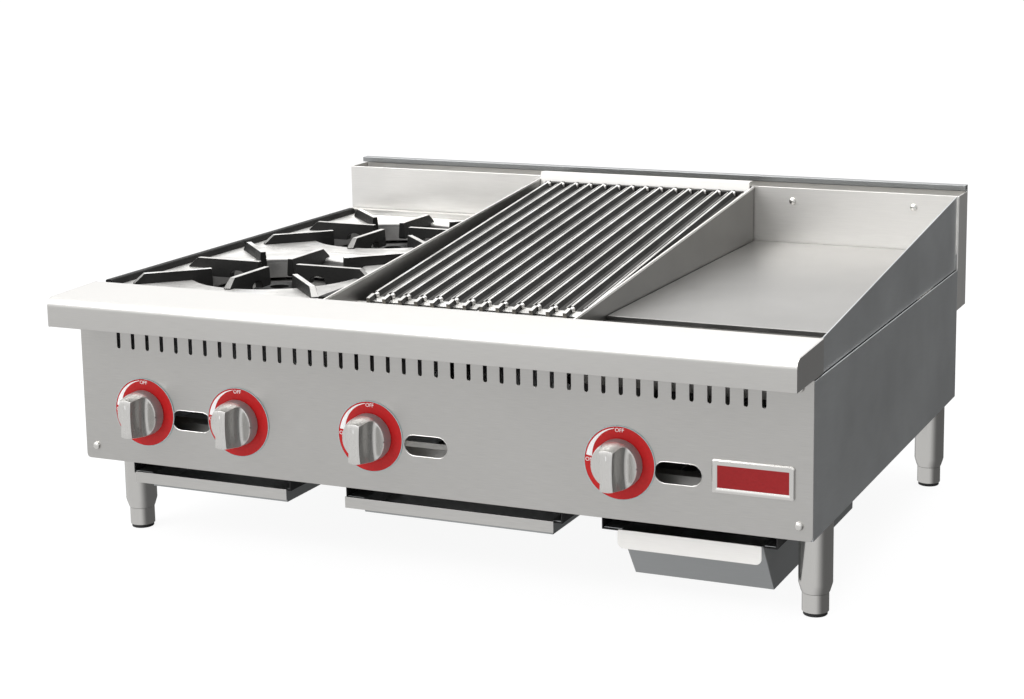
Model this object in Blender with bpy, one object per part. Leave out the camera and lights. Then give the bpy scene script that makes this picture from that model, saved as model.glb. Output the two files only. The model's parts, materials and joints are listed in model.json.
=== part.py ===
"""Countertop gas range: two-burner hot plate, char-broiler and griddle in one cabinet.

Metres, +X to the right, +Y to the back, +Z up. The origin is on the ground, under
the middle of the unit. Each visible mesh object is one physical piece.
"""
import math

import bmesh
import bpy
from mathutils import Matrix, Vector

# Driving dimensions of the whole unit
WIDTH = 0.914
DEPTH = 0.770
HEIGHT = 0.387
BODY_BOTTOM = 0.107
SIDE_TOP = 0.279
SPLASH_FRONT_TOP = 0.317
SPLASH_REAR_TOP = 0.3775

SHEET = 0.0015
GAP = 0.0003
HALF = WIDTH / 2
FRONT_EDGE = -DEPTH / 2
BACK = DEPTH / 2

# Front panel and its ledge
LEDGE_REACH = 0.060
PANEL_Y = FRONT_EDGE + LEDGE_REACH
PANEL_BACK = PANEL_Y + SHEET
LEDGE_REAR = PANEL_Y + 0.034
LEDGE_BOTTOM = 0.281
LEDGE_ROLL_START = 0.305
LEDGE_TOP_FRONT = 0.3155
LEDGE_TOP_REAR = 0.318
LEDGE_ROLL = 0.011
TOP_FRONT = LEDGE_REAR + SHEET
LOUVRES = 41
LOUVRE_PITCH = 0.02015
LOUVRE_WIDTH = 0.0048
LOUVRE_BOTTOM = 0.246
LOUVRE_TOP = 0.276

# Rear of the cabinet and the flue riser
REAR_PANEL_BACK = 0.3348
RISER_FRONT = REAR_PANEL_BACK + 0.0004
RISER_BACK = BACK - SHEET - GAP
RISER_BOTTOM = 0.224
RISER_TOP = 0.378
TOP_REAR = 0.3325

# Sections, left to right
BROILER_LEFT = -0.1425
BROILER_RIGHT = 0.173
BROILER_CENTRE = (BROILER_LEFT + BROILER_RIGHT) / 2
HOTPLATE_CENTRE = (-HALF + BROILER_LEFT) / 2
GRIDDLE_RIGHT = HALF - 0.0025

# Controls
CONTROL_Z = 0.171
KNOBS_X = (-0.370, -0.240, -0.065, 0.240)
SLOTS_X = (-0.305, 0.005, 0.307)
SLOT_Z = CONTROL_Z - 0.0055
SLOT_SIZE = (0.054, 0.0235)
MANIFOLD_Y = PANEL_Y + 0.045
MANIFOLD_RADIUS = 0.0125
VALVE_RADIUS = 0.0145
VALVE_BACK = MANIFOLD_Y + MANIFOLD_RADIUS + 0.001
BURNER_TUBE_START = MANIFOLD_Y + MANIFOLD_RADIUS + 0.008
MANIFOLD_Z = CONTROL_Z - VALVE_RADIUS - GAP - MANIFOLD_RADIUS

# Char-broiler grates
BARS_PER_GRATE = 7
BAR_PITCH = 0.0211
BAR_SECTION = ((-0.0020, -0.0200), (-0.0016, 0), (0.0016, 0), (0.0024, -0.0025), (0.0075, -0.0105),
               (0.0130, -0.0040), (0.0138, -0.0025), (0.0152, -0.0025), (0.0155, -0.0050),
               (0.0095, -0.0160), (0.0020, -0.0200))
GRATE_FRONT = (-0.208, 0.3104)
GRATE_REAR = (0.303, 0.3750)
GRATE_LUG = 0.014
LUG_SEAT = 0.3005

# Hot plate grates; the pan they rest on has a raised strip behind them
PAN_STRIP_FRONT = 0.3178
BURNER_GRATE = (0.306, 0.2965)
BURNER_GRATES_Y = (-0.1290, 0.1685)
GRATE_OPENING = 0.108
GRATE_SEAT = 0.3045
GRATE_PLATE_TOP = 0.3100
GRATE_RIM_TOP = 0.3180
RIB_TOP = 0.3225

# Trays under the cabinet: name, then the x extent of the guide, the lip and the body
GUIDE_TOP = BODY_BOTTOM - GAP
GUIDE_BOTTOM = 0.0840
GUIDE_FRONT = PANEL_Y + 0.030
GUIDE_BACK = 0.210
TRAYS = (
    ("left", (-0.4115, -0.1915), (-0.4065, -0.1950), (-0.3850, -0.1960)),
    ("middle", (-0.1165, 0.1580), (-0.1160, 0.1490), (-0.0930, 0.1470)),
    ("right", (0.2060, 0.4090), (0.2260, 0.3925), (0.2300, 0.3940)),
)

# Legs
LEG_X = 0.4375
LEG_YS = (PANEL_Y + 0.078, PANEL_Y + 0.600)

for old in list(bpy.data.objects):
    bpy.data.objects.remove(old, do_unlink=True)


def material(name, colour, roughness, metallic):
    made = bpy.data.materials.new(name)
    made.use_nodes = True
    shader = made.node_tree.nodes["Principled BSDF"]
    shader.inputs["Base Color"].default_value = (*colour, 1)
    shader.inputs["Roughness"].default_value = roughness
    shader.inputs["Metallic"].default_value = metallic
    return made


STEEL = material("brushed_stainless", (0.62, 0.61, 0.59), 0.35, 1.0)
DARK_STEEL = material("dark_steel", (0.10, 0.10, 0.11), 0.50, 1.0)
GALVANISED = material("galvanised_steel", (0.45, 0.47, 0.48), 0.45, 1.0)
CAST_IRON = material("cast_iron", (0.03, 0.03, 0.03), 0.55, 0.6)
PLATE_STEEL = material("ground_steel_plate", (0.50, 0.49, 0.47), 0.30, 1.0)
CHROME = material("satin_chrome", (0.70, 0.70, 0.68), 0.20, 1.0)
RED = material("red_enamel", (0.60, 0.03, 0.03), 0.35, 0.0)
BRASS = material("brass", (0.60, 0.45, 0.18), 0.30, 1.0)


def finish(name, mesh_builder, finish_material, origin=(0, 0, 0), smooth=False):
    """Turn a bmesh in world coordinates into a named object whose origin is `origin`."""
    bmesh.ops.remove_doubles(mesh_builder, verts=mesh_builder.verts, dist=1e-6)
    bmesh.ops.recalc_face_normals(mesh_builder, faces=mesh_builder.faces)
    bmesh.ops.translate(mesh_builder, verts=mesh_builder.verts, vec=-Vector(origin))
    mesh = bpy.data.meshes.new(name)
    mesh_builder.to_mesh(mesh)
    mesh_builder.free()
    made = bpy.data.objects.new(name, mesh)
    made.location = origin
    mesh.materials.append(finish_material)
    if smooth:
        mesh.shade_smooth()
        mesh.set_sharp_from_angle(angle=math.radians(35))
    bpy.context.scene.collection.objects.link(made)
    return made


def lofted(*sections):
    """Closed solid through matching sections, each a ring of world points."""
    builder = bmesh.new()
    rings = [[builder.verts.new(point) for point in section] for section in sections]
    for lower, upper in zip(rings, rings[1:]):
        for i, vert in enumerate(lower):
            after = (i + 1) % len(lower)
            builder.faces.new((vert, lower[after], upper[after], upper[i]))
    builder.faces.new(rings[0])
    builder.faces.new(rings[-1])
    return builder


def block(x, y, z):
    """Box from (low, high) pairs along each axis."""
    corners = ((x[0], y[0]), (x[1], y[0]), (x[1], y[1]), (x[0], y[1]))
    return lofted([(cx, cy, z[0]) for cx, cy in corners], [(cx, cy, z[1]) for cx, cy in corners])


def tapered_block(bottom, top):
    """Box whose bottom and top are each (x pair, y pair, z)."""
    rings = []
    for (x0, x1), (y0, y1), z in (bottom, top):
        rings.append([(x0, y0, z), (x1, y0, z), (x1, y1, z), (x0, y1, z)])
    return lofted(*rings)


def along_x(outline, x):
    """Extrude a (y, z) outline between two x values."""
    return lofted([(x[0], y, z) for y, z in outline], [(x[1], y, z) for y, z in outline])


def along_y(outline, y):
    """Extrude an (x, z) outline between two y values."""
    return lofted([(x, y[0], z) for x, z in outline], [(x, y[1], z) for x, z in outline])


def pierced(outline, holes, place, push):
    """Plate from a 2-D outline with holes: `place` puts it in space, `push` thickens it."""
    builder = bmesh.new()
    for loop in (outline, *holes):
        verts = [builder.verts.new(place(u, v)) for u, v in loop]
        for i, vert in enumerate(verts):
            builder.edges.new((vert, verts[(i + 1) % len(verts)]))
    bmesh.ops.triangle_fill(builder, use_beauty=True, use_dissolve=False, edges=builder.edges[:])
    grown = bmesh.ops.extrude_face_region(builder, geom=builder.faces[:])
    moved = [item for item in grown["geom"] if isinstance(item, bmesh.types.BMVert)]
    bmesh.ops.translate(builder, verts=moved, vec=push)
    return builder


def circle(centre, radius, sides, start=0.0):
    step = 2 * math.pi / sides
    return [(centre[0] + radius * math.cos(start + step * i),
             centre[1] + radius * math.sin(start + step * i)) for i in range(sides)]


def rectangle(u, v):
    return [(u[0], v[0]), (u[1], v[0]), (u[1], v[1]), (u[0], v[1])]


def stadium(centre, length, height, steps=6):
    """Slot with round ends, its long side along u."""
    radius = height / 2
    reach = length / 2 - radius
    points = []
    for side, start in ((1, -math.pi / 2), (-1, math.pi / 2)):
        for i in range(steps + 1):
            angle = start + math.pi * i / steps
            points.append((centre[0] + side * reach + radius * math.cos(angle),
                           centre[1] + radius * math.sin(angle)))
    return points


def turned(profile, place, segments=24):
    """Turn a (radius, height) profile; `place` maps (a, b, height) to the world."""
    builder = bmesh.new()
    rings = []
    for radius, height in profile:
        if radius == 0:
            rings.append([builder.verts.new(place(0, 0, height))])
            continue
        rings.append([builder.verts.new(place(u, v, height))
                      for u, v in circle((0, 0), radius, segments)])
    closed = profile[0][0] != 0
    pairs = list(zip(rings, rings[1:])) + ([(rings[-1], rings[0])] if closed else [])
    for low, high in pairs:
        for i in range(segments):
            after = (i + 1) % segments
            corners = [low[i % len(low)], low[after % len(low)],
                       high[after % len(high)], high[i % len(high)]]
            unique = list(dict.fromkeys(corners))
            builder.faces.new(unique)
    return builder


def upright(x, y):
    return lambda u, v, height: (x + u, y + v, height)


def facing_front(x, z):
    """Heights of a turned profile are world y values."""
    return lambda u, v, height: (x + u, height, z + v)


def cut(target, cutter_builder, operation="DIFFERENCE"):
    """Boolean the target with a hidden tool object."""
    tool = finish(f"{target.name}.tool{len(target.modifiers)}", cutter_builder, STEEL)
    tool.hide_render = True
    tool.display_type = "WIRE"
    boolean = target.modifiers.new("boolean", "BOOLEAN")
    boolean.operation = operation
    boolean.object = tool
    return target


def pipe(name, points, radius, pipe_material):
    """Round bar along a polyline, with flat ends."""
    curve = bpy.data.curves.new(name, "CURVE")
    curve.dimensions = "3D"
    curve.bevel_depth = radius
    curve.bevel_resolution = 2
    curve.use_fill_caps = True
    curve.render_resolution_u = 0
    spline = curve.splines.new("POLY")
    spline.points.add(len(points) - 1)
    for target, point in zip(spline.points, points):
        target.co = (*point, 1)
    made = bpy.data.objects.new(name, curve)
    curve.materials.append(pipe_material)
    bpy.context.scene.collection.objects.link(made)
    return made


def rounded_route(corners, bend, steps=4):
    """Polyline through the corners, each inner corner replaced by a smooth bend."""
    route = [Vector(corners[0])]
    for before, corner, after in zip(corners, corners[1:], corners[2:]):
        before, corner, after = Vector(before), Vector(corner), Vector(after)
        enter = corner + (before - corner).normalized() * bend
        leave = corner + (after - corner).normalized() * bend
        for i in range(steps + 1):
            t = i / steps
            route.append(enter * (1 - t) ** 2 + corner * 2 * t * (1 - t) + leave * t * t)
    route.append(Vector(corners[-1]))
    return route


# ---------------------------------------------------------------- cabinet

def louvre(index):
    """Vertical slot with a round bottom; its top hides behind the ledge."""
    x = (index - (LOUVRES - 1) / 2) * LOUVRE_PITCH
    radius = LOUVRE_WIDTH / 2
    foot = [(x + radius * math.cos(angle), LOUVRE_BOTTOM + radius + radius * math.sin(angle))
            for angle in (math.pi + i * math.pi / 4 for i in range(5))]
    return foot + [(x + radius, LOUVRE_TOP), (x - radius, LOUVRE_TOP)]


def make_front_panel():
    shoulder = LEDGE_BOTTOM - 0.0005
    top = LEDGE_TOP_FRONT - 0.0025
    narrow = HALF - 0.002
    corner = 0.005
    outline = [(narrow, shoulder), (narrow, top), (-narrow, top), (-narrow, shoulder),
               (-HALF, shoulder)]
    for side, start in ((-1, math.pi), (1, 1.5 * math.pi)):
        for i in range(4):
            angle = start + i * math.pi / 6
            outline.append((side * (HALF - corner) + corner * math.cos(angle),
                            BODY_BOTTOM + corner + corner * math.sin(angle)))
    outline.append((HALF, shoulder))
    holes = [louvre(i) for i in range(LOUVRES)]
    holes += [circle((x, CONTROL_Z), 0.008, 12) for x in KNOBS_X]
    holes += [stadium((x, SLOT_Z), *SLOT_SIZE) for x in SLOTS_X]
    plate = pierced(outline, holes, lambda u, v: (u, PANEL_Y, v), (0, SHEET, 0))
    finish("front_panel", plate, STEEL)


def ledge_outline(inset):
    """Section of the rolled ledge, front half, from its lower front corner to its top rear."""
    front = FRONT_EDGE + inset
    roll = LEDGE_ROLL - inset
    centre = (FRONT_EDGE + LEDGE_ROLL, LEDGE_ROLL_START)
    points = [(front, LEDGE_BOTTOM + inset)]
    for i in range(7):
        angle = math.pi - math.radians(88) * i / 6
        points.append((centre[0] + roll * math.cos(angle), centre[1] + roll * math.sin(angle)))
    return points


def make_front_ledge():
    outer = ledge_outline(0)
    outer += [(LEDGE_REAR, LEDGE_TOP_REAR), (LEDGE_REAR, LEDGE_BOTTOM)]
    ledge = finish("front_ledge", along_x(outer, (-HALF, HALF)), STEEL, smooth=True)
    behind = PANEL_Y - 0.0006
    inner = ledge_outline(SHEET)
    inner += [(LEDGE_REAR + SHEET, LEDGE_TOP_REAR - SHEET), (LEDGE_REAR + SHEET, LEDGE_BOTTOM - SHEET),
              (behind, LEDGE_BOTTOM - SHEET), (behind, LEDGE_BOTTOM + SHEET)]
    cut(ledge, along_x(inner, (-HALF + SHEET, HALF - SHEET)))


def make_side_panels():
    for name, outer, inner in (("left_side_panel", -HALF, -HALF + SHEET),
                               ("right_side_panel", HALF, HALF - SHEET)):
        panel = block(sorted((outer, inner)), (PANEL_BACK + GAP, REAR_PANEL_BACK),
                      (BODY_BOTTOM, SIDE_TOP))
        finish(name, panel, STEEL)


def tray_opening(guide):
    return rectangle((guide[0] + 0.030, guide[1] - 0.030), (-0.265, 0.185))


def make_base_panel():
    half = HALF - SHEET - GAP
    outline = rectangle((-half, half), (PANEL_BACK + GAP, 0.3330))
    holes = [tray_opening(guide) for _, guide, _, _ in TRAYS]
    plate = pierced(outline, holes, lambda u, v: (u, v, BODY_BOTTOM), (0, 0, SHEET))
    finish("base_panel", plate, GALVANISED)


FLUE_PORTS = [((x - 0.110, x + 0.110), (0.236, 0.272)) for x in (-0.300, 0.015, 0.315)]


def make_rear_panel():
    half = HALF - SHEET - GAP
    outline = rectangle((-half, half), (BODY_BOTTOM + SHEET + GAP, 0.3000))
    pipe_exit = circle((INLET_X, MANIFOLD_Z), MANIFOLD_RADIUS + 0.002, 16)
    plate = pierced(outline, [rectangle(*port) for port in FLUE_PORTS] + [pipe_exit],
                    lambda u, v: (u, REAR_PANEL_BACK, v), (0, -SHEET, 0))
    finish("rear_panel", plate, GALVANISED)


def make_flue():
    """Open-topped riser box, its taller back panel with a folded lip, and a brace."""
    riser = finish("flue_riser", block((-HALF, HALF), (RISER_FRONT, RISER_BACK),
                                       (RISER_BOTTOM, RISER_TOP)), STEEL)
    cut(riser, block((-HALF + SHEET, HALF - SHEET),
                     (RISER_FRONT + SHEET, RISER_BACK - SHEET),
                     (RISER_BOTTOM + SHEET, RISER_TOP + SHEET)))
    for x, z in FLUE_PORTS:
        cut(riser, block(x, (RISER_FRONT - SHEET, RISER_FRONT + 2 * SHEET), z))
    lip_front = BACK - 0.0135
    back = [(BACK, RISER_BOTTOM), (BACK, HEIGHT), (lip_front, HEIGHT), (lip_front, HEIGHT - 0.0070),
            (lip_front + SHEET, HEIGHT - 0.0070), (lip_front + SHEET, HEIGHT - SHEET),
            (BACK - SHEET, HEIGHT - SHEET), (BACK - SHEET, RISER_BOTTOM)]
    finish("flue_back_panel", along_x(back, (-HALF, HALF)), STEEL)
    left = -HALF + 0.030
    brace = [(left, 0.330), (left + 0.018, 0.330), (left + 0.018, 0.3315),
             (left + SHEET, 0.3315), (left + SHEET, 0.372), (left, 0.372)]
    finish("flue_brace", along_y(brace, (RISER_FRONT + SHEET + GAP, RISER_BACK - SHEET - GAP)),
           GALVANISED)


# ---------------------------------------------------------------- hot plate

def make_hotplate_pan():
    """Spill pan whose rim carries both grates, with a raised strip along the riser."""
    x = (-HALF + 0.0025, BROILER_LEFT - 0.001)
    outline = [(TOP_FRONT, SIDE_TOP + 0.0008), (TOP_REAR, SIDE_TOP + 0.0008),
               (TOP_REAR, GRATE_RIM_TOP - 0.0015), (PAN_STRIP_FRONT, GRATE_RIM_TOP - 0.0015),
               (PAN_STRIP_FRONT, GRATE_SEAT - 0.0005), (TOP_FRONT, GRATE_SEAT - 0.0005)]
    pan = finish("hotplate_pan", along_x(outline, x), STEEL)
    rim = 0.004
    cut(pan, block((x[0] + rim, x[1] - rim), (TOP_FRONT + 0.018, PAN_STRIP_FRONT - 0.006),
                   (0.2815, 0.320)))
    for centre_y in BURNER_GRATES_Y:
        hole = turned([(0, 0.270), (0.060, 0.270), (0.060, 0.290), (0, 0.290)],
                      upright(HOTPLATE_CENTRE, centre_y))
        cut(pan, hole)


def rib(outline, angle):
    """Upright rib of a burner grate from a (radius, z) outline."""
    half = 0.0045
    turn = Matrix.Rotation(angle, 3, "Z")
    sides = [[turn @ Vector((u, side, z)) for u, z in outline] for side in (-half, half)]
    return lofted(*sides)


def make_burner_grate(name, centre):
    """Cast grate: plate with a wide opening, rims at its sides and eight ribs over it."""
    half_x, half_y = BURNER_GRATE[0] / 2, BURNER_GRATE[1] / 2
    plate = pierced(rectangle((-half_x, half_x), (-half_y, half_y)),
                    [circle((0, 0), GRATE_OPENING, 8, math.pi / 8)],
                    lambda u, v: (u, v, GRATE_SEAT), (0, 0, GRATE_PLATE_TOP - GRATE_SEAT))
    grate = finish(name, plate, CAST_IRON)
    grate.location = centre
    low, foot = GRATE_SEAT - 0.005, GRATE_SEAT + 0.002
    pieces = [block(sorted((side * half_x, side * (half_x - 0.009))), (-half_y, half_y),
                    (foot, GRATE_RIM_TOP)) for side in (-1, 1)]
    for i in range(4):
        reach = 0.130 if i % 2 == 0 else 0.118
        axial = [(0.027, low), (0.046, low), (0.049, GRATE_PLATE_TOP), (0.067, GRATE_PLATE_TOP),
                 (0.070, low), (0.095, low), (0.104, foot), (reach, foot),
                 (reach, GRATE_PLATE_TOP + 0.002), (reach - 0.014, RIB_TOP), (0.027, RIB_TOP)]
        diagonal = [(0.084, low), (0.097, low), (0.106, foot), (0.180, foot),
                    (0.180, GRATE_PLATE_TOP + 0.002), (0.166, RIB_TOP), (0.084, RIB_TOP)]
        pieces.append(rib(axial, i * math.pi / 2))
        pieces.append(rib(diagonal, math.pi / 4 + i * math.pi / 2))
    for piece in pieces:
        cut(grate, piece, "UNION").modifiers[-1].object.location = centre


def make_burner(name, y, valve_x):
    """Burner head standing through the pan, and the tube that feeds it."""
    head = turned([(0, 0.2400), (0.030, 0.2400), (0.042, 0.262), (0.042, 0.280),
                   (0.030, 0.292), (0.012, 0.292), (0.012, 0.285), (0, 0.285)],
                  upright(HOTPLATE_CENTRE, y))
    finish(f"{name}_burner_head", head, CAST_IRON, smooth=True)
    route = rounded_route([(valve_x, BURNER_TUBE_START, CONTROL_Z), (valve_x, y - 0.060, CONTROL_Z),
                           (HOTPLATE_CENTRE, y, 0.185), (HOTPLATE_CENTRE, y, 0.2390)], 0.028)
    pipe(f"{name}_burner_tube", route, 0.011, GALVANISED)


# ---------------------------------------------------------------- char-broiler

def make_broiler_walls():
    notch_z = 0.215
    notch_y = MANIFOLD_Y + 0.025
    floor = BODY_BOTTOM + SHEET + GAP
    outline = [(TOP_FRONT, SPLASH_FRONT_TOP), (TOP_FRONT, notch_z), (notch_y, notch_z),
               (notch_y, floor), (TOP_REAR, floor), (TOP_REAR, SPLASH_REAR_TOP)]
    finish("broiler_left_wall", along_x(outline, (BROILER_LEFT, BROILER_LEFT + SHEET)), STEEL)
    finish("broiler_right_wall", along_x(outline, (BROILER_RIGHT - SHEET, BROILER_RIGHT)), STEEL)


BROILER_INSIDE = (BROILER_LEFT + SHEET + GAP, BROILER_RIGHT - SHEET - GAP)


def make_broiler_trim():
    """Rear deflector and the angle that the grates' front ends rest on."""
    deflector = [(0.3165, 0.3610), (0.3200, 0.3855), (TOP_REAR, 0.3855), (TOP_REAR, 0.3840),
                 (0.3213, 0.3840), (0.3180, 0.3610)]
    finish("broiler_deflector", along_x(deflector, BROILER_INSIDE), STEEL)
    front, rear = GRATE_FRONT[0] - 0.021, GRATE_FRONT[0] - 0.0012
    rest = [(front, 0.250), (front + SHEET, 0.250), (front + SHEET, LUG_SEAT - SHEET),
            (rear, LUG_SEAT - SHEET), (rear, LUG_SEAT), (front, LUG_SEAT)]
    finish("broiler_grate_rest", along_x(rest, BROILER_INSIDE), STEEL)


def make_char_grate(name, first):
    """Seven bars, each a ridge with a grease groove beside it, on cross ribs, sloping up
    to the back; a lug at the front of every bar stands on the rest."""
    run = GRATE_REAR[0] - GRATE_FRONT[0]
    rise = GRATE_REAR[1] - GRATE_FRONT[1]
    slope = math.atan2(rise, run)
    length = math.hypot(run, rise)
    ridges = [(first + bar) * BAR_PITCH for bar in range(BARS_PER_GRATE)]
    grate = finish(name, along_y([(ridges[0] + u, z) for u, z in BAR_SECTION], (0, length)),
                   CAST_IRON)
    pieces = [along_y([(ridge + u, z) for u, z in BAR_SECTION], (0, length))
              for ridge in ridges[1:]]
    for i in range(4):
        y = 0.001 + i * (length - 0.012) / 3
        pieces.append(block((ridges[0], ridges[-1]), (y, y + 0.010), (-0.0195, -0.0150)))
    foot = (LUG_SEAT + GAP - GRATE_FRONT[1]) / math.cos(slope)
    for ridge in ridges:
        pieces.append(along_x([(0.002, foot), (-GRATE_LUG, foot + GRATE_LUG * math.tan(slope)),
                               (-GRATE_LUG, -0.0035), (0.002, -0.0035)],
                              (ridge - 0.0035, ridge + 0.0035)))
    place = Matrix.Translation((BROILER_CENTRE, *GRATE_FRONT)) @ Matrix.Rotation(slope, 4, "X")
    grate.matrix_world = place
    for piece in pieces:
        cut(grate, piece, "UNION").modifiers[-1].object.matrix_world = place


def make_broiler_fire():
    """U-shaped tube burner and the radiant above it."""
    x_in, x_out = KNOBS_X[2], 0.095
    route = rounded_route([(x_in, BURNER_TUBE_START, CONTROL_Z), (x_in, -0.180, 0.195), (x_in, 0.260, 0.195),
                           (x_out, 0.260, 0.195), (x_out, -0.150, 0.195)], 0.040)
    pipe("broiler_burner", route, 0.015, GALVANISED)
    thick = 0.003
    apex, eave, reach = 0.266, 0.228, 0.120
    roof = [(BROILER_CENTRE - reach, eave), (BROILER_CENTRE, apex), (BROILER_CENTRE + reach, eave),
            (BROILER_CENTRE + reach, eave - thick), (BROILER_CENTRE, apex - thick),
            (BROILER_CENTRE - reach, eave - thick)]
    finish("broiler_radiant", along_y(roof, (-0.150, 0.300)), CAST_IRON)


# ---------------------------------------------------------------- griddle

GRIDDLE_FRONT = PANEL_Y + 0.127
GRIDDLE_TOP = 0.303
GRIDDLE_X = (BROILER_RIGHT + 0.0012, GRIDDLE_RIGHT - SHEET - 0.0007)


def make_griddle():
    plate = block(GRIDDLE_X, (GRIDDLE_FRONT, TOP_REAR), (GRIDDLE_TOP - 0.015, GRIDDLE_TOP))
    finish("griddle_plate", plate, PLATE_STEEL)
    low = SIDE_TOP + 0.001
    outline = [(TOP_FRONT, low), (TOP_REAR, low), (TOP_REAR, SPLASH_REAR_TOP),
               (TOP_FRONT, SPLASH_FRONT_TOP)]
    finish("griddle_right_splash", along_x(outline, (GRIDDLE_RIGHT - SHEET, GRIDDLE_RIGHT)), STEEL)


GUTTER_SPOUT = (0.330, -0.236)


def make_grease_gutter():
    """Trough in front of the plate, with a spout down to the grease box."""
    y = (TOP_FRONT, GRIDDLE_FRONT - 0.0010)
    gutter = finish("grease_gutter", block(GRIDDLE_X, y, (0.246, 0.298)), STEEL)
    spout = upright(*GUTTER_SPOUT)
    cut(gutter, turned([(0, 0.112), (0.020, 0.112), (0.020, 0.248), (0, 0.248)], spout), "UNION")
    cut(gutter, block((GRIDDLE_X[0] + SHEET, GRIDDLE_X[1] - SHEET), (y[0] + SHEET, y[1] - SHEET),
                      (0.248, 0.310)))
    cut(gutter, turned([(0, 0.105), (0.0185, 0.105), (0.0185, 0.260), (0, 0.260)], spout))


def make_griddle_burner():
    x_in, x_out = KNOBS_X[3], 0.385
    route = rounded_route([(x_in, BURNER_TUBE_START, CONTROL_Z), (x_in, -0.150, 0.225), (x_in, 0.260, 0.225),
                           (x_out, 0.260, 0.225), (x_out, -0.120, 0.225)], 0.040)
    pipe("griddle_burner", route, 0.015, GALVANISED)


# ---------------------------------------------------------------- gas and controls

INLET_X = 0.425
INLET_END = 0.362


def make_gas_line():
    route = rounded_route([(-0.400, MANIFOLD_Y, MANIFOLD_Z), (INLET_X, MANIFOLD_Y, MANIFOLD_Z),
                           (INLET_X, INLET_END, MANIFOLD_Z)], 0.030)
    pipe("gas_manifold", route, MANIFOLD_RADIUS, DARK_STEEL)


def make_control(number, x):
    """Gas valve standing on the manifold, its stem, the round bezel and the knob, on one axis."""
    place = facing_front(x, CONTROL_Z)
    collar_back = MANIFOLD_Y - MANIFOLD_RADIUS - GAP
    collar_front = collar_back - 0.012
    body_front = PANEL_BACK + 0.0010
    valve = turned([(0, VALVE_BACK), (VALVE_RADIUS, VALVE_BACK), (VALVE_RADIUS, collar_back),
                    (0.012, collar_back), (0.012, collar_front), (0.008, collar_front),
                    (0.008, body_front), (0, body_front)], place, 16)
    finish(f"gas_valve_{number}", valve, BRASS)
    axis = (x, PANEL_Y, CONTROL_Z)
    stem_back = body_front - GAP
    stem_front = PANEL_Y - 0.020
    stem = turned([(0, stem_back), (0.004, stem_back), (0.004, stem_front), (0, stem_front)],
                  place, 12)
    finish(f"valve_stem_{number}", stem, BRASS, origin=axis)
    bezel_back = PANEL_Y - GAP
    bezel_front = PANEL_Y - 0.0014
    bezel = turned([(0.0085, bezel_back), (0.0415, bezel_back), (0.0415, bezel_front + 0.0004),
                    (0.0411, bezel_front), (0.0085, bezel_front)], place, 32)
    finish(f"bezel_{number}", bezel, RED)
    back = bezel_front - 0.0006
    face = back - 0.017
    front = PANEL_Y - 0.0390
    skirt = turned([(0, back), (0.0275, back), (0.0270, face + 0.001), (0.0260, face), (0, face)],
                   place, 32)
    knob = finish(f"knob_{number}", skirt, CHROME, origin=axis)
    grip = lofted([(x + u, face + 0.002, CONTROL_Z + v)
                   for u, v in rectangle((-0.0095, 0.0095), (-0.0250, 0.0250))],
                  [(x + u, front, CONTROL_Z + v)
                   for u, v in rectangle((-0.0078, 0.0078), (-0.0225, 0.0225))])
    cut(knob, grip, "UNION")
    bore_end = stem_front - 0.0005
    cut(knob, turned([(0, back + 0.001), (0.0048, back + 0.001), (0.0048, bore_end), (0, bore_end)],
                     place, 12))


def make_badge():
    """Plain name plate frame with no lettering."""
    x, z = 0.3915, 0.168
    plate = lofted(
        [(x + u, PANEL_Y - GAP, z + v) for u, v in rectangle((-0.046, 0.046), (-0.0185, 0.0185))],
        [(x + u, PANEL_Y - 0.0022, z + v) for u, v in rectangle((-0.0455, 0.0455), (-0.018, 0.018))],
        [(x + u, PANEL_Y - 0.0028, z + v) for u, v in rectangle((-0.044, 0.044), (-0.0165, 0.0165))])
    finish("badge", plate, CHROME)


# ---------------------------------------------------------------- trays

def make_tray_guide(name, guide_x, body_x):
    """Channel with turned-in flanges that carries one tray; open above the tray."""
    sheet = 0.0012
    low, high = guide_x
    slot = (body_x[0] - 0.0008, body_x[1] + 0.0008)
    top, bottom = GUIDE_TOP, GUIDE_BOTTOM
    section = [(low, top), (low, bottom), (slot[0], bottom), (slot[0], bottom + sheet),
               (low + sheet, bottom + sheet), (low + sheet, top - sheet),
               (high - sheet, top - sheet), (high - sheet, bottom + sheet),
               (slot[1], bottom + sheet), (slot[1], bottom), (high, bottom), (high, top)]
    guide = finish(name, along_y(section, (GUIDE_FRONT, GUIDE_BACK)), DARK_STEEL)
    opening = tray_opening(guide_x)
    cut(guide, block((opening[0][0], opening[1][0]), (opening[0][1], opening[2][1]),
                     (top - 0.004, top + 0.004)))


TRAY_FRONT = GUIDE_FRONT - 0.0035
TRAY_FLANGE = (GUIDE_BOTTOM + 0.0016, GUIDE_BOTTOM + 0.0028)


def make_tray(name, guide_x, lip_x, body_x, back, bottom, lip_bottom, draft):
    """Pull-out tray: open pan, side flanges that ride in the guide, and a front lip.

    `draft` is how far the front wall leans back; the other walls are almost upright.
    """
    low, high = body_x
    lean = 0.0005
    top = TRAY_FLANGE[1]
    pan = tapered_block(((low + lean, high - lean), (TRAY_FRONT + draft, back - lean), bottom),
                        (body_x, (TRAY_FRONT, back), top))
    tray = finish(name, pan, GALVANISED)
    cut(tray, block((guide_x[0] + 0.0020, guide_x[1] - 0.0020), (GUIDE_FRONT + 0.0010, back),
                    TRAY_FLANGE), "UNION")
    cut(tray, block(lip_x, (TRAY_FRONT - 0.0008, TRAY_FRONT + 0.0008), (lip_bottom, top)), "UNION")
    wall = SHEET
    cut(tray, tapered_block(((low + lean + wall, high - lean - wall),
                             (TRAY_FRONT + draft + wall, back - lean - wall), bottom + wall),
                            ((low + wall, high - wall),
                             (TRAY_FRONT + wall, back - wall), top + wall)))


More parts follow.
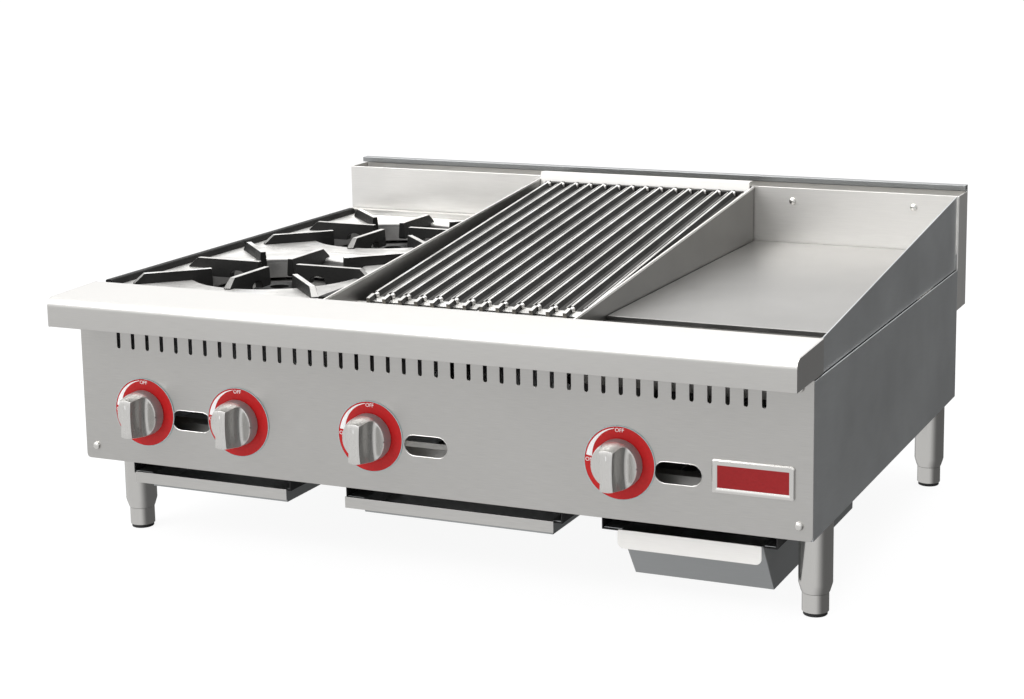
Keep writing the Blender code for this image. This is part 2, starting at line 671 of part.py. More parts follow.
def make_trays():
    for side, guide_x, lip_x, body_x in TRAYS:
        make_tray_guide(f"tray_guide_{side}", guide_x, body_x)
        if side == "right":
            make_tray("grease_box", guide_x, lip_x, body_x, back=0.060, bottom=0.0245,
                      lip_bottom=0.0655, draft=0.042)
        else:
            make_tray(f"crumb_tray_{side}", guide_x, lip_x, body_x, back=0.200, bottom=0.0700,
                      lip_bottom=0.0735, draft=0.004)


# ---------------------------------------------------------------- legs

def make_leg(name, x, y):
    """Chromed leg with a threaded bore, and the screw-adjustable foot in it."""
    place = upright(x, y)
    top = BODY_BOTTOM - GAP
    leg = turned([(0, top), (0.019, top), (0.019, 0.035), (0.0155, 0.026), (0.0065, 0.026),
                  (0.0065, 0.085), (0, 0.085)], place)
    finish(f"leg_{name}", leg, CHROME, smooth=True)
    foot = turned([(0, 0), (0.0135, 0), (0.0135, 0.004), (0.015, 0.004), (0.015, 0.0255),
                   (0.005, 0.0255), (0.005, 0.072), (0, 0.072)], place)
    finish(f"foot_{name}", foot, CHROME, origin=(x, y, 0), smooth=True)


make_front_panel()
make_front_ledge()
make_side_panels()
make_base_panel()
make_rear_panel()
make_flue()
make_hotplate_pan()
for grate_name, grate_y in zip(("burner_grate_front", "burner_grate_rear"), BURNER_GRATES_Y):
    make_burner_grate(grate_name, (HOTPLATE_CENTRE, grate_y, 0))
make_burner("front", BURNER_GRATES_Y[0], KNOBS_X[0])
make_burner("rear", BURNER_GRATES_Y[1], KNOBS_X[1])
make_broiler_walls()
make_broiler_trim()
make_char_grate("char_grate_left", 0.5 - BARS_PER_GRATE)
make_char_grate("char_grate_right", 0.5)
make_broiler_fire()
make_griddle()
make_grease_gutter()
make_griddle_burner()
make_gas_line()
for knob_number, knob_x in enumerate(KNOBS_X, 1):
    make_control(knob_number, knob_x)
make_badge()
make_trays()
for row, leg_y in zip(("front", "rear"), LEG_YS):
    for side_name, leg_x in (("left", -LEG_X), ("right", LEG_X)):
        make_leg(f"{row}_{side_name}", leg_x, leg_y)
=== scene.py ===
"""Looks of the countertop gas range: finer pieces, materials, light and camera."""
import json
import math

import bmesh
import bpy
from mathutils import Matrix, Vector


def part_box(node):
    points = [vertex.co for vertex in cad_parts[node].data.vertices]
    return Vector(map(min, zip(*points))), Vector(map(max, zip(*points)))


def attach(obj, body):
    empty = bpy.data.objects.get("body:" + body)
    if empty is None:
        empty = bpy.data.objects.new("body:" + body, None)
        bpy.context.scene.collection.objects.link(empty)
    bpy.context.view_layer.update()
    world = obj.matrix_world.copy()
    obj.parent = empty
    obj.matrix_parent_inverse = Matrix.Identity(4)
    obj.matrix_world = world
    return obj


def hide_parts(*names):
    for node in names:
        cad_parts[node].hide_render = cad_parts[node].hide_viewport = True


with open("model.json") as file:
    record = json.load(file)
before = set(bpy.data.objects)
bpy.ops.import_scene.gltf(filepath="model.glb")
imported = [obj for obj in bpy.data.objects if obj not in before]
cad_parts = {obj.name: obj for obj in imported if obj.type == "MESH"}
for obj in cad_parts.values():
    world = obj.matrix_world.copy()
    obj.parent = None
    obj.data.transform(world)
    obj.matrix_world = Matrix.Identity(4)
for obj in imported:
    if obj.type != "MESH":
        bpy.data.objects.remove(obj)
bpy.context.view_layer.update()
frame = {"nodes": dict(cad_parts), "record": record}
nodes = frame["nodes"]

MM = 0.001
SHARP = math.radians(32)
slot_boxes = [opening["box_m"] for opening in frame["record"]["physics"]["openings"]
              if opening["name"].startswith("observation_slot")]


# ---------------------------------------------------------------- mesh tools

def emit(name, builder, materials, body, smooth=True, bevel=0.0, replaces=()):
    """Finish a bmesh as a piece: materials, optional rounded edges, the body it rides on."""
    bmesh.ops.remove_doubles(builder, verts=builder.verts, dist=1e-6)
    bmesh.ops.recalc_face_normals(builder, faces=builder.faces)
    mesh = bpy.data.meshes.new(name)
    builder.to_mesh(mesh)
    builder.free()
    piece = bpy.data.objects.new(name, mesh)
    bpy.context.scene.collection.objects.link(piece)
    for entry in materials:
        mesh.materials.append(entry)
    if smooth:
        mesh.shade_smooth()
        mesh.set_sharp_from_angle(angle=SHARP)
    if bevel:
        rounding = piece.modifiers.new("rounded_edges", "BEVEL")
        rounding.width = bevel
        rounding.segments = 2
        rounding.limit_method = "ANGLE"
        rounding.angle_limit = SHARP
        rounding.harden_normals = smooth
    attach(piece, body)
    if replaces:
        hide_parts(*replaces)


def loft(builder, sections, material_index=0, caps=True):
    """Add a solid through matching rings of points; its side faces come first, edge by edge."""
    rings = [[builder.verts.new(point) for point in section] for section in sections]
    faces = []
    for low, high in zip(rings, rings[1:]):
        for i, vert in enumerate(low):
            after = (i + 1) % len(low)
            faces.append(builder.faces.new((vert, low[after], high[after], high[i])))
    if caps:
        faces.append(builder.faces.new(rings[0]))
        faces.append(builder.faces.new(rings[-1]))
    for face in faces:
        face.material_index = material_index
    return faces


def extrude_x(builder, outline, x, material_index=0):
    """Solid of a (y, z) outline between two values of x."""
    return loft(builder, [[(side, y, z) for y, z in outline] for side in x], material_index)


def extrude_y(builder, outline, y, material_index=0):
    """Solid of an (x, z) outline between two values of y."""
    return loft(builder, [[(x, side, z) for x, z in outline] for side in y], material_index)


def add_block(builder, low, high, material_index=0):
    corners = [(low[0], low[1]), (high[0], low[1]), (high[0], high[1]), (low[0], high[1])]
    sections = [[(x, y, z) for x, y in corners] for z in (low[2], high[2])]
    return loft(builder, sections, material_index)


def lathe(builder, profile, place, segments=64, material_index=0):
    """Turn (radius, height) pairs; a profile that starts off the axis is closed as a ring."""
    rings = []
    for radius, height in profile:
        count = 1 if radius == 0 else segments
        rings.append([builder.verts.new(place(radius * math.cos(2 * math.pi * i / segments),
                                              radius * math.sin(2 * math.pi * i / segments),
                                              height)) for i in range(count)])
    pairs = list(zip(rings, rings[1:]))
    if profile[0][0] != 0:
        pairs.append((rings[-1], rings[0]))
    for low, high in pairs:
        for i in range(segments):
            after = (i + 1) % segments
            corners = dict.fromkeys((low[i % len(low)], low[after % len(low)],
                                     high[after % len(high)], high[i % len(high)]))
            builder.faces.new(list(corners)).material_index = material_index


def upright(x, y):
    """Place a turned shape with its axis standing at (x, y)."""
    return lambda u, v, height: (x + u, y + v, height)


def facing_front(x, z):
    """Place a turned shape with its axis along Y at (x, z)."""
    return lambda u, v, height: (x + u, height, z + v)


def arc(centre, radius, start, end, steps):
    """Points on a circle between two angles in degrees."""
    points = []
    for i in range(steps + 1):
        angle = math.radians(start + (end - start) * i / steps)
        points.append((centre[0] + radius * math.cos(angle), centre[1] + radius * math.sin(angle)))
    return points


# ---------------------------------------------------------------- materials

class Shader:
    """Small helper around a node material."""

    def __init__(self, name, colour, roughness, metallic=0.0):
        self.material = bpy.data.materials.new(name)
        self.material.use_nodes = True
        self.tree = self.material.node_tree
        self.surface = self.tree.nodes["Principled BSDF"]
        self.surface.inputs["Base Color"].default_value = (*colour, 1)
        self.surface.inputs["Roughness"].default_value = roughness
        self.surface.inputs["Metallic"].default_value = metallic
        self.space = self.tree.nodes.new("ShaderNodeTexCoord").outputs["Object"]

    def link(self, source, target):
        self.tree.links.new(source, target)

    def noise(self, scale, stretch=(1, 1, 1), detail=4.0, roughness=0.5):
        mapping = self.tree.nodes.new("ShaderNodeMapping")
        mapping.inputs["Scale"].default_value = stretch
        texture = self.tree.nodes.new("ShaderNodeTexNoise")
        texture.inputs["Scale"].default_value = scale
        texture.inputs["Detail"].default_value = detail
        texture.inputs["Roughness"].default_value = roughness
        self.link(self.space, mapping.inputs["Vector"])
        self.link(mapping.outputs["Vector"], texture.inputs["Vector"])
        return texture.outputs["Fac"]

    def ramp(self, source, *stops):
        """Colour from a value, between two (position, colour) stops."""
        node = self.tree.nodes.new("ShaderNodeValToRGB")
        for element, (position, colour) in zip(node.color_ramp.elements, stops):
            element.position = position
            element.color = (*colour, 1)
        self.link(source, node.inputs["Fac"])
        return node.outputs["Color"]

    def spread(self, source, low, high):
        """Value between low and high over the middle of a noise."""
        node = self.tree.nodes.new("ShaderNodeMapRange")
        node.inputs["From Min"].default_value = 0.3
        node.inputs["From Max"].default_value = 0.7
        node.inputs["To Min"].default_value = low
        node.inputs["To Max"].default_value = high
        self.link(source, node.inputs["Value"])
        return node.outputs["Result"]

    def multiply(self, first, second):
        node = self.tree.nodes.new("ShaderNodeMix")
        node.data_type = "RGBA"
        node.blend_type = "MULTIPLY"
        node.inputs["Factor"].default_value = 1.0
        self.link(first, node.inputs["A"])
        self.link(second, node.inputs["B"])
        return node.outputs["Result"]

    def bump(self, source, strength, distance):
        node = self.tree.nodes.new("ShaderNodeBump")
        node.inputs["Strength"].default_value = strength
        node.inputs["Distance"].default_value = distance
        self.link(source, node.inputs["Height"])
        self.link(node.outputs["Normal"], self.surface.inputs["Normal"])


def grey(value, tint=(1.0, 1.0, 1.0)):
    return tuple(value * part for part in tint)


WARM = (1.0, 0.985, 0.955)
COOL = (0.965, 0.99, 1.0)


def brushed(name, value, roughness, grain, tint=WARM, contrast=0.05, bump=0.02, cloud=0.04,
            metallic=1.0):
    """Brushed metal: fine grain drawn out along one direction over a soft cloudy tone."""
    shader = Shader(name, grey(value, tint), roughness, metallic)
    lines = shader.noise(2400, grain, detail=3)
    clouds = shader.noise(6, detail=3)
    low, high = value * (1 - contrast), value * (1 + contrast)
    fine = shader.ramp(lines, (0.30, grey(low, tint)), (0.70, grey(high, tint)))
    tone = shader.ramp(clouds, (0.30, grey(1.0 - cloud)), (0.70, grey(1.0)))
    shader.link(shader.multiply(fine, tone), shader.surface.inputs["Base Color"])
    shader.link(shader.spread(lines, roughness - 0.04, roughness + 0.05),
                shader.surface.inputs["Roughness"])
    shader.bump(lines, bump, 0.0001)
    return shader.material


def cast(name, value, roughness, bump=0.35, metallic=0.7, tint=WARM):
    """Sand-cast iron: fine pits and uneven gloss."""
    shader = Shader(name, grey(value, tint), roughness, metallic)
    pits = shader.noise(420, detail=6, roughness=0.65)
    patches = shader.noise(22, detail=3)
    uneven = shader.ramp(patches, (0.30, grey(value * 0.75, tint)), (0.72, grey(value * 1.25, tint)))
    shader.link(uneven, shader.surface.inputs["Base Color"])
    shader.link(shader.spread(pits, roughness - 0.10, roughness + 0.14),
                shader.surface.inputs["Roughness"])
    shader.bump(pits, bump, 0.0006)
    return shader.material


def enamel(name, colour, roughness, specular=0.5):
    """Coloured enamel with a faint orange-peel surface."""
    shader = Shader(name, colour, roughness)
    peel = shader.noise(300, detail=2)
    darker = tuple(part * 0.90 for part in colour)
    shader.link(shader.ramp(peel, (0.35, darker), (0.65, colour)),
                shader.surface.inputs["Base Color"])
    shader.surface.inputs["Specular IOR Level"].default_value = specular
    shader.bump(peel, 0.08, 0.0002)
    return shader.material


# Grain directions: the noise is drawn out along the axis with the small scale.
ALONG_X = (0.02, 1.0, 1.0)
ALONG_Y = (1.0, 0.02, 1.0)
ALONG_Z = (1.0, 1.0, 0.02)

PANEL = brushed("stainless_front", 0.64, 0.36, ALONG_X)
LEDGE = brushed("stainless_ledge", 0.72, 0.32, ALONG_X, contrast=0.03, bump=0.01, cloud=0.03)
# Painted highlight: the ledge steel made brighter for the ledge's top.
LEDGE_TOP_PAINTED_HIGHLIGHT = brushed("stainless_ledge_top_painted_highlight", 0.93, 0.32, ALONG_X, contrast=0.02, bump=0.01,
                    cloud=0.02)
SIDE = brushed("stainless_side", 0.88, 0.36, ALONG_Y, tint=COOL, cloud=0.22)
RISER = brushed("stainless_riser", 0.94, 0.40, ALONG_X, contrast=0.03)
# Bright sheet of the deflector and grate rest; the wall top strips and the slot rims use it as a
# painted highlight.
BRIGHT_SHEET_AND_PAINTED_HIGHLIGHT = brushed("bright_annealed_sheet_and_painted_highlight", 0.95, 0.45, ALONG_X, contrast=0.02)
# Painted highlight: a whiter copy of the box metal for the grease box's front lip.
BOX_LIP_PAINTED_HIGHLIGHT = brushed("box_lip_painted_highlight", 0.95, 0.40, ALONG_X, contrast=0.02, metallic=0.35)
LIP = brushed("stainless_lip", 0.42, 0.30, ALONG_X, tint=COOL)
WALL = brushed("stainless_wall", 0.50, 0.36, ALONG_Y, cloud=0.12)
# Painted shade: a darker copy of the wall stainless for the broiler's right wall.
PARTITION_PAINTED_SHADE = brushed("stainless_partition_painted_shade", 0.30, 0.40, ALONG_Y, cloud=0.18)
GRIDDLE = brushed("ground_griddle_steel", 0.48, 0.36, ALONG_Y, contrast=0.08, bump=0.04, cloud=0.14)
SCORCHED = cast("scorched_steel_edge", 0.10, 0.50, bump=0.15, metallic=0.9)
PAN = brushed("stainless_pan", 0.62, 0.34, ALONG_X)
# Painted highlight: a brighter copy of the tray metal for the crumb trays' fronts.
TRAY_FRONT_PAINTED_HIGHLIGHT = brushed("tray_front_painted_highlight", 0.72, 0.36, ALONG_X)
BOX = brushed("galvanised_box", 0.50, 0.42, ALONG_X, tint=COOL, cloud=0.10)
BLACK = enamel("black_paint", (0.012, 0.012, 0.013), 0.55)
PIPE = brushed("grey_gas_pipe", 0.30, 0.50, ALONG_X, cloud=0.20)
IRON = cast("black_cast_iron", 0.018, 0.50)
IRON_PLATE = cast("seasoned_iron_plate", 0.92, 0.36, bump=0.10, metallic=0.8)
# Lighter grey copy of the black iron for the sloping rib ends.
IRON_BEVEL = cast("lighter_rib_end", 0.34, 0.42, bump=0.20, metallic=0.9)
BOWL = cast("grey_bowl_wall", 0.15, 0.55, bump=0.20, metallic=0.6)
# Painted highlight: a near-white copy of the black iron for the tops of ribs, ridges, lugs and
# steps, and the bar-end domes.
IRON_PAINTED_HIGHLIGHT = cast("iron_painted_highlight", 0.92, 0.34, bump=0.06, metallic=1.0)
BAR_SIDE = cast("grate_bar_side", 0.17, 0.46, bump=0.35, metallic=0.9)
# Painted shade: a near-black copy of the bar iron for the bar flanks and the sides of lugs, steps
# and end blocks.
BAR_FLANK_PAINTED_SHADE = cast("grate_bar_flank_painted_shade", 0.045, 0.55, bump=0.25)
# Painted sheen: a lighter copy of the bar iron for the groove lips and the ties in the grooves.
BAR_LIP_PAINTED_SHEEN = cast("grate_groove_lip_painted_sheen", 0.50, 0.40, bump=0.20, metallic=0.9)
LUG_FOOT = cast("brown_iron_foot", 0.13, 0.55, tint=(1.0, 0.93, 0.82))
RED = enamel("red_enamel", (0.47, 0.010, 0.011), 0.42, specular=0.25)
BADGE_RED = enamel("dark_red_enamel", (0.28, 0.010, 0.012), 0.36, specular=0.25)
RIM = enamel("pale_rim", (0.38, 0.50, 0.51), 0.40)
MARK = enamel("white_mark", (0.85, 0.85, 0.85), 0.45)
KNOB = brushed("satin_knob_metal", 0.76, 0.30, ALONG_Z, contrast=0.02, cloud=0.02, metallic=0.88)
# Painted shade: a darker, duller copy of the knob metal for the skirt.
KNOB_SIDE_PAINTED_SHADE = brushed("satin_knob_side_painted_shade", 0.36, 0.42, ALONG_Z, tint=COOL, contrast=0.02, cloud=0.02,
                    metallic=0.55)
# Painted shade on the grip bar's flanks, a darker copy of the knob metal.
KNOB_FLANK_PAINTED_SHADE = brushed("shaded_knob_metal", 0.47, 0.30, ALONG_Z, contrast=0.02, cloud=0.02,
                     metallic=0.88)
CHROME = brushed("polished_chrome", 0.88, 0.16, ALONG_Z, contrast=0.01, bump=0.01)
LEG = brushed("satin_leg_metal", 0.78, 0.17, ALONG_Z, contrast=0.03)
RUBBER = enamel("black_rubber_pad", (0.015, 0.015, 0.016), 0.60)
BRASS = brushed("machined_brass", 0.55, 0.30, ALONG_X, tint=(1.0, 0.73, 0.28))


def dress(material, *names):
    """Give carried-over CAD nodes their material."""
    for name in names:
        mesh = nodes[name].data
        mesh.materials.clear()
        mesh.materials.append(material)


dress(PAN, "hotplate_pan", "grease_gutter")
dress(BOX, "base_panel", "rear_panel", "flue_brace", "broiler_burner", "griddle_burner",
      "front_burner_tube", "rear_burner_tube")
dress(BLACK, "tray_guide_left", "tray_guide_middle", "tray_guide_right")
dress(PIPE, "gas_manifold")
dress(IRON, "front_burner_head", "rear_burner_head", "broiler_radiant")
dress(BRASS, *[f"gas_valve_{i}" for i in range(1, 5)], *[f"valve_stem_{i}" for i in range(1, 5)])


# ---------------------------------------------------------------- sheet metal

def refine(name, finish, bevel=0.35 * MM, body="cabinet", front_scorch_and_highlight=None):
    """Carry a CAD sheet over as a piece with small chamfers that catch the light.

    Where a second material is given, it goes on the foremost upright face: the griddle's scorched
    edge, and a painted highlight on the crumb trays' fronts.
    """
    builder = bmesh.new()
    builder.from_mesh(nodes[name].data)
    builder.transform(nodes[name].matrix_world)
    bmesh.ops.dissolve_limit(builder, angle_limit=math.radians(1), verts=builder.verts,
                             edges=builder.edges)
    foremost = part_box(name)[0].y + 0.5 * MM
    for face in builder.faces:
        is_front = face.calc_center_median().y < foremost
        face.material_index = int(front_scorch_and_highlight is not None and is_front)
    emit(f"{name}_sheet", builder, [finish, front_scorch_and_highlight or finish], body, smooth=False,
         bevel=bevel, replaces=(name,))


def make_wall_top_highlights():
    """Painted highlight along the top edge of each broiler wall: a bright strip beside the wall's
    duller faces.

    It stands proud of the wall all round, and further on the side away from the grates.
    """
    tall, proud, outward = 2.4 * MM, 0.2 * MM, 0.6 * MM
    for name, left, right in (("broiler_left_wall", outward, proud),
                              ("broiler_right_wall", proud, outward)):
        low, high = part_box(name)
        corners = [nodes[name].matrix_world @ vertex.co for vertex in nodes[name].data.vertices]
        front_top = max(corner.z for corner in corners if corner.y < low.y + 0.5 * MM)
        outline = [(low.y, front_top - tall), (low.y, front_top + proud),
                   (high.y, high.z + proud), (high.y, high.z - tall)]
        builder = bmesh.new()
        extrude_x(builder, outline, (low.x - left, high.x + right))
        emit(f"{name}_edge", builder, [BRIGHT_SHEET_AND_PAINTED_HIGHLIGHT], "cabinet", smooth=False)


def make_slot_highlight_rims():
    """Painted highlight: a bright rim round each observation slot, standing a little proud of the
    panel.
    """
    panel_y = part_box("front_panel")[0].y
    straight, radius, width, proud = 15.25 * MM, 11.75 * MM, 0.9 * MM, 0.35 * MM

    def stadium(centre, size, y):
        outline = arc((centre[0] + straight, centre[1]), size, -90, 90, 16)
        outline += arc((centre[0] - straight, centre[1]), size, 90, 270, 16)
        return [(u, y, v) for u, v in outline]

    for number, (low, high) in enumerate(slot_boxes, 1):
        centre = ((low[0] + high[0]) / 2, (low[2] + high[2]) / 2)
        rings = [stadium(centre, radius + width, panel_y),
                 stadium(centre, radius + width / 2, panel_y - proud),
                 stadium(centre, radius, panel_y),
                 stadium(centre, radius, panel_y + proud),
                 stadium(centre, radius + width, panel_y + proud)]
        builder = bmesh.new()
        loft(builder, rings + rings[:1], caps=False)
        emit(f"observation_slot_highlight_rim_{number}", builder, [BRIGHT_SHEET_AND_PAINTED_HIGHLIGHT], "cabinet")


# ---------------------------------------------------------------- front ledge

def make_ledge():
    """Bullnose sheet with closed ends; its gently sloping top carries a painted highlight, a
    brighter copy of the roll's steel.
    """
    low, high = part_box("front_ledge")
    front, rear = low.y, high.y
    sheet, radius, slope_rise = 1.5 * MM, 11 * MM, 2.5 * MM
    bend = (front + radius, high.z - slope_rise - radius)
    outer = [(front, low.z)] + arc(bend, radius, 180, 92, 16) + [(rear, high.z)]
    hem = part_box("front_panel")[0].y - 0.6 * MM
    inner = [(rear, high.z - sheet)] + arc(bend, radius - sheet, 92, 180, 16)
    inner += [(front + sheet, low.z + sheet), (hem, low.z + sheet), (hem, low.z)]
    builder = bmesh.new()
    faces = extrude_x(builder, outer + inner, (low.x + sheet, high.x - sheet))
    halfway_round_bend = 8
    # Painted highlight on the faces from halfway round the bend to the rear edge.
    for face in faces[halfway_round_bend:len(outer) - 1]:
        face.material_index = 1
    end = outer + [(rear, low.z)]
    for x in ((low.x, low.x + sheet), (high.x - sheet, high.x)):
        extrude_x(builder, end, x)
    emit("front_ledge_rolled", builder, [LEDGE, LEDGE_TOP_PAINTED_HIGHLIGHT], "cabinet", replaces=("front_ledge",),
         bevel=0.5 * MM)


# ---------------------------------------------------------------- controls

KNOB_SKIRT = 16 * MM
SKIRT_TAPER = 0.7 * MM
GRIP_TAPER = 3.8 * MM
BAR_SHARE = 0.34        # half width of the grip bar, as a share of the knob's radius
HOLLOW_SHARE = 0.64     # outer end of the hollow beside the bar
BAR_WAIST = 0.14


def knob_front(share, face, front):
    """Y of the knob's front at a share of its radius: grip bar, hollow beside it, rim."""
    share = abs(share)
    hollow = face + 1.4 * MM
    flank = BAR_SHARE + 0.05
    if share <= BAR_SHARE:
        return front
    if share <= BAR_SHARE + 0.02:
        return front + 0.9 * MM
    if share < HOLLOW_SHARE:
        along = max(0.0, (share - flank) / (HOLLOW_SHARE - flank))
        return hollow - 12 * MM * (1 - math.sqrt(1 - (1 - along) ** 2))
    return hollow - 1.4 * MM * (share - HOLLOW_SHARE) / (1 - HOLLOW_SHARE)


def make_knob(number):
    """Satin knob: a tapered skirt and a waisted grip bar between two hollows; painted shade darkens
    the skirt and the bar's flanks.
    """
    low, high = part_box(f"knob_{number}")
    x, z = (low.x + high.x) / 2, (low.z + high.z) / 2
    radius = (high.x - low.x) / 2
    back, front = high.y, low.y
    face = back - KNOB_SKIRT

    def reach(y):
        """Radius of the knob at a depth."""
        if y > face:
            return radius - SKIRT_TAPER * (back - y) / KNOB_SKIRT
        return radius - SKIRT_TAPER - GRIP_TAPER * (face - y) / (face - front)

    def section(share):
        """Ring of points round the knob in the plane x = centre + share of the radius."""
        top = knob_front(share, face, front)
        depths = [back - 0.7 * MM] + [back + (top + 1.2 * MM - back) * i / 3 for i in (1, 2, 3)]
        side = [(back, radius - 0.5 * MM)] + [(y, reach(y)) for y in depths]
        side += [(top + 0.3 * MM, reach(top) - 0.1 * MM), (top, reach(top) - 0.7 * MM)]
        half = math.sqrt(1 - share ** 2)
        size = side[-1][1]
        waist = BAR_WAIST * min(1.0, max(0.0, (0.70 - abs(share)) / 0.20))
        ring = [(x + extent * share, y, z - extent * half) for y, extent in side]
        for i in range(-3, 4):
            narrow = 1 - waist * (1 - (i / 4) ** 2)
            ring.append((x + size * share * narrow, top, z + size * half * i / 4))
        return ring + [(x + extent * share, y, z + extent * half) for y, extent in side[::-1]]

    shares = [math.sin(math.radians(angle)) for angle in range(-88, 89, 4)]
    shares = [share for share in shares if abs(abs(share) - BAR_SHARE) > 0.06]
    for offset in (0.0, 0.02, 0.05, 0.065):
        shares += [BAR_SHARE + offset, -BAR_SHARE - offset]
    builder = bmesh.new()
    loft(builder, [section(share) for share in sorted(shares)])
    for facet in builder.faces:
        facet.normal_update()
        middle = facet.calc_center_median()
        # Painted shade: darker copies of the knob metal on the skirt and on the grip bar's flanks.
        skirt = face + 1.6 * MM < middle.y < back - 0.1 * MM
        flank = abs(facet.normal.x) > 0.6 and abs(middle.x - x) < radius / 2
        facet.material_index = 2 if skirt else 3 if flank else 0
    line_top, line_half, line_length = z + reach(front) - 6 * MM, 0.4 * MM, 4 * MM
    add_block(builder, (x - line_half, front - 0.15 * MM, line_top - line_length),
              (x + line_half, front + 0.3 * MM, line_top), 1)
    emit(f"knob_{number}_metal", builder, [KNOB, MARK, KNOB_SIDE_PAINTED_SHADE, KNOB_FLANK_PAINTED_SHADE], f"knob_{number}",
         replaces=(f"knob_{number}",))
    return x, z


def crescent(radius, steps=24):
    """Flame mark that widens from OFF at the top to ON at the left."""
    outer, inner = [], []
    for i in range(steps + 1):
        share = i / steps
        angle = math.radians(98 + 73 * share)
        width = (0.6 + 6.4 * share ** 1.3) * MM
        outer.append((radius * math.cos(angle), radius * math.sin(angle)))
        inner.append(((radius - width) * math.cos(angle), (radius - width) * math.sin(angle)))
    return outer + inner[::-1]


def make_bezel(number, x, z):
    """Red disc in a pale rim, with a crescent and plain words for the two ends of the turn."""
    low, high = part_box(f"bezel_{number}")
    radius = (high.x - low.x) / 2
    back, front = high.y, low.y
    hole = 8.5 * MM
    disc = radius - 0.9 * MM
    rim = disc + 0.02 * MM
    place = facing_front(x, z)
    builder = bmesh.new()
    lathe(builder, [(hole, back), (disc, back), (disc, front + 0.3 * MM), (disc - 0.4 * MM, front),
                    (hole, front)], place, segments=128)
    lathe(builder, [(rim, back), (radius, back), (radius, front + 0.8 * MM),
                    (radius - 0.3 * MM, front + 0.2 * MM), (rim, front + 0.1 * MM)],
          place, segments=128, material_index=1)
    mark = [(x + u, z + v) for u, v in crescent(disc - 1.7 * MM)]
    extrude_y(builder, mark, (front - 0.12 * MM, front + 0.2 * MM), 2)
    emit(f"bezel_{number}_enamel", builder, [RED, RIM, MARK], "cabinet",
         replaces=(f"bezel_{number}",))
    for word, u, v in (("OFF", 0.6 * MM, disc - 5.9 * MM), ("ON", -disc + 5.8 * MM, -0.8 * MM)):
        curve = bpy.data.curves.new(f"dial_{word.lower()}_{number}", "FONT")
        curve.body = word
        curve.size = 6.0 * MM
        curve.extrude = 0.12 * MM
        curve.align_x = "CENTER"
        curve.materials.append(MARK)
        label = bpy.data.objects.new(curve.name, curve)
        label.rotation_euler = (math.radians(90), 0, 0)
        label.location = (x + u, front - 0.05 * MM, z + v)
        bpy.context.scene.collection.objects.link(label)
        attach(label, "cabinet")


def make_badge():
    """Chromed frame round a plain dark red field."""
    low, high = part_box("badge")
    x, z = (low.x + high.x) / 2, (low.z + high.z) / 2
    half_u, half_v = (high.x - low.x) / 2, (high.z - low.z) / 2
    back, front = high.y, low.y

    def ring(inset, y, rounding):
        """Rounded rectangle, inset from the badge's outline."""
        points = []
        for quarter, (su, sv) in enumerate(((1, 1), (-1, 1), (-1, -1), (1, -1))):
            cu = su * (half_u - inset - rounding)
            cv = sv * (half_v - inset - rounding)
            points += arc((x + cu, z + cv), rounding, quarter * 90, quarter * 90 + 90, 6)
        return [(u, y, v) for u, v in points]

    outline = ring(0, back, 3 * MM)
    field = ring(6.2 * MM, front + 1.2 * MM, 0.6 * MM)
    builder = bmesh.new()
    loft(builder, [outline, ring(0.2 * MM, front + 1.0 * MM, 3 * MM),
                   ring(1.2 * MM, front + 0.2 * MM, 2.4 * MM), ring(3.2 * MM, front, 1.6 * MM),
                   ring(5.6 * MM, front + 0.9 * MM, 0.8 * MM), field], caps=False)
    face = builder.faces.new([builder.verts.new(point) for point in field])
    face.material_index = 1
    builder.faces.new([builder.verts.new(point) for point in outline])
    emit("badge_frame", builder, [CHROME, BADGE_RED], "cabinet", replaces=("badge",))


def domed_screw(name, x, y, z):
    """Plain round-headed screw facing the front."""
    radius, brim, steps = 5.0 * MM, 0.5 * MM, 8
    height = 0.62 * radius
    profile = [(0, y), (radius, y), (radius, y - brim)]
    for i in range(1, steps):
        angle = math.radians(90 * i / steps)
        profile.append((radius * math.cos(angle), y - brim - height * math.sin(angle)))
    profile.append((0, y - brim - height))
    builder = bmesh.new()
    lathe(builder, profile, facing_front(x, z), segments=32)
    emit(name, builder, [CHROME], "cabinet")


def make_screws():
    """Four screws in the front panel's corners and two in the griddle's rear splash."""
    low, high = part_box("front_panel")
    inset_x, inset_z = 15 * MM, 16 * MM
    ledge_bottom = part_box("front_ledge")[0].z
    for side, x in (("left", low.x + inset_x), ("right", high.x - inset_x)):
        domed_screw(f"panel_screw_lower_{side}", x, low.y, low.z + inset_z)
        domed_screw(f"panel_screw_upper_{side}", x, low.y, ledge_bottom - 9 * MM)
    riser_low, riser_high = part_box("flue_riser")
    for number, x in enumerate((228 * MM, 396 * MM), 1):
        domed_screw(f"splash_screw_{number}", x, riser_low.y, riser_high.z - 18 * MM)


# ---------------------------------------------------------------- hot plate grates

RIB_BEVEL = 14 * MM


def rounded_arch(start, end, low, high, steps=8):
    """Full-shouldered arch in a rib's lower edge, from one radius to another."""
    centre, half = (start + end) / 2, (end - start) / 2
    return [(centre - half * math.cos(math.pi * i / steps),
             low + (high - low) * math.sin(math.pi * i / steps) ** 0.6) for i in range(steps + 1)]


def grate_rib(builder, centre, outline, top, angle):
    """Upright cast rib: draft on its sides, a narrow top in a painted highlight, and lighter grey
    sloping ends.
    """
    turn = Matrix.Rotation(angle, 3, "Z")
    rings = []
    for side in (-1, 1):
        ring = []
        for u, z in outline:
            half = 3.4 * MM + 1.6 * MM * min(1.0, (top - z) / RIB_BEVEL)
            ring.append(Vector(centre) + turn @ Vector((u, side * half, 0)) + Vector((0, 0, z)))
        rings.append(ring)
    for face in loft(builder, rings)[:len(outline)]:
        heights = [vert.co.z for vert in face.verts]
        # Painted highlight on the top faces; a lighter grey on the sloping ends.
        if min(heights) > top - 0.1 * MM:
            face.material_index = 1
        elif min(heights) > top - RIB_BEVEL and max(heights) > top - 0.1 * MM:
            face.material_index = 3


